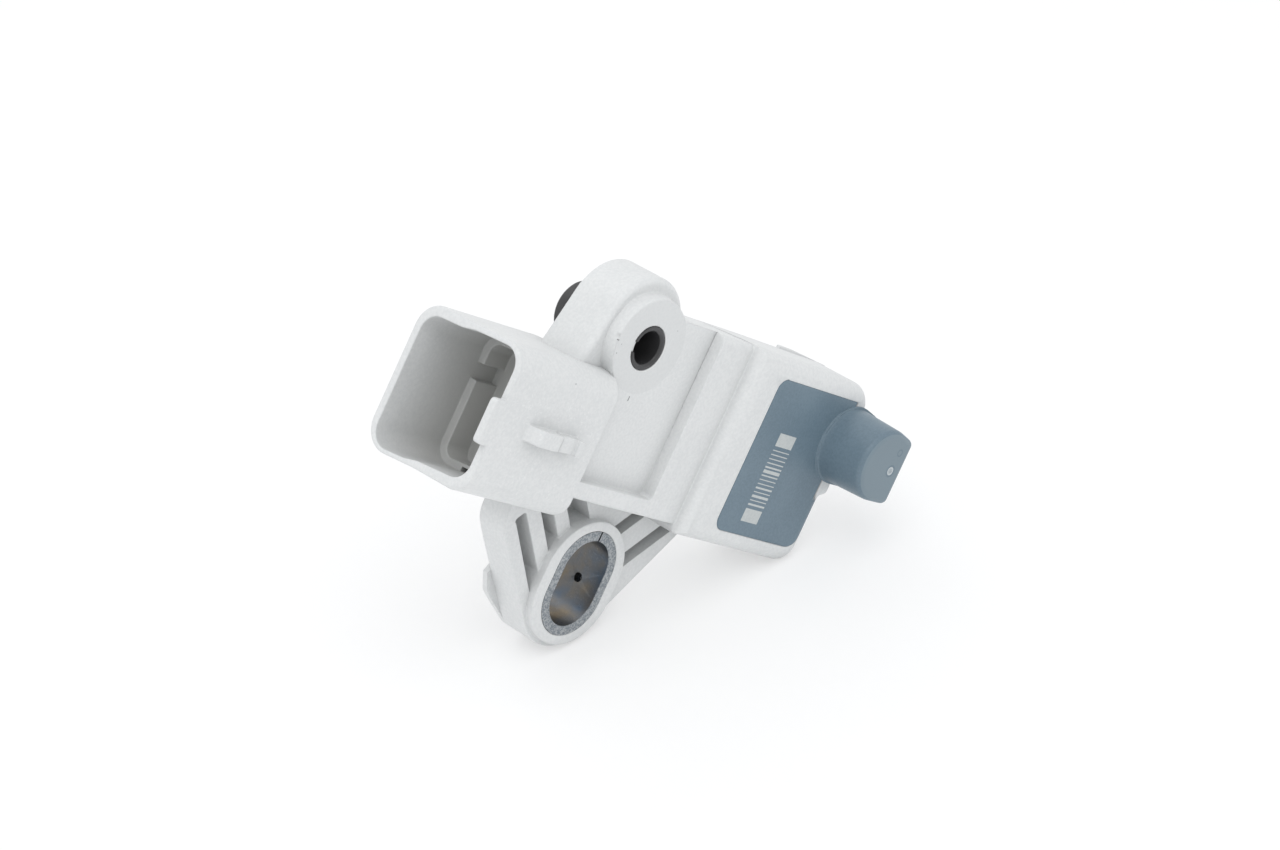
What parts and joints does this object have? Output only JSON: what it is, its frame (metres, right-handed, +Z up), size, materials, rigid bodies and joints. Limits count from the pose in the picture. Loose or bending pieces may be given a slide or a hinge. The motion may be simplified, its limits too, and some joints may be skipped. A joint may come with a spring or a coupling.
{
  "type": "crankshaft position sensor",
  "caption": "Engine speed sensor: a flat plastic housing with a side connector socket, a sensing finger, a hollow locating peg and an oval metal bush for the fixing bolt.",
  "frame": {"origin": "where the locating peg's axis meets the back face of the housing's upper lobe", "axes": "-Y out of the front, the way the finger points, and +Y into the engine along the peg; +Z up as it stands on its bolt lug and its thick end; +X from the connector to the finger"},
  "size_m": [0.0735, 0.0294, 0.0542],
  "materials": {
    "grey_plastic": "light grey glass-filled plastic with a fine grain",
    "blue_grey_plastic": "blue-grey glass-filled plastic, satin",
    "black_plastic": "black, slightly glossy",
    "bush_steel": "zinc-plated rolled strip, dull inside, speckled on its sheared end",
    "terminal_brass": "tin-plated",
    "tinned_lead": "tinned",
    "chip_plastic": "black moulded epoxy",
    "capacitor_coat": "dipped coat"
  },
  "bodies": {
    "root": {"housing": "grey_plastic", "sensor_carrier": "blue_grey_plastic", "locating_peg": "black_plastic", "bolt_bush": "bush_steel", "terminal_1": "terminal_brass", "terminal_2": "terminal_brass", "terminal_3": "terminal_brass", "chip_lead_1": "tinned_lead", "chip_lead_2": "tinned_lead", "chip_lead_3": "tinned_lead", "hall_chip": "chip_plastic", "suppression_capacitor": "capacitor_coat"}
  },
  "joints": []
}
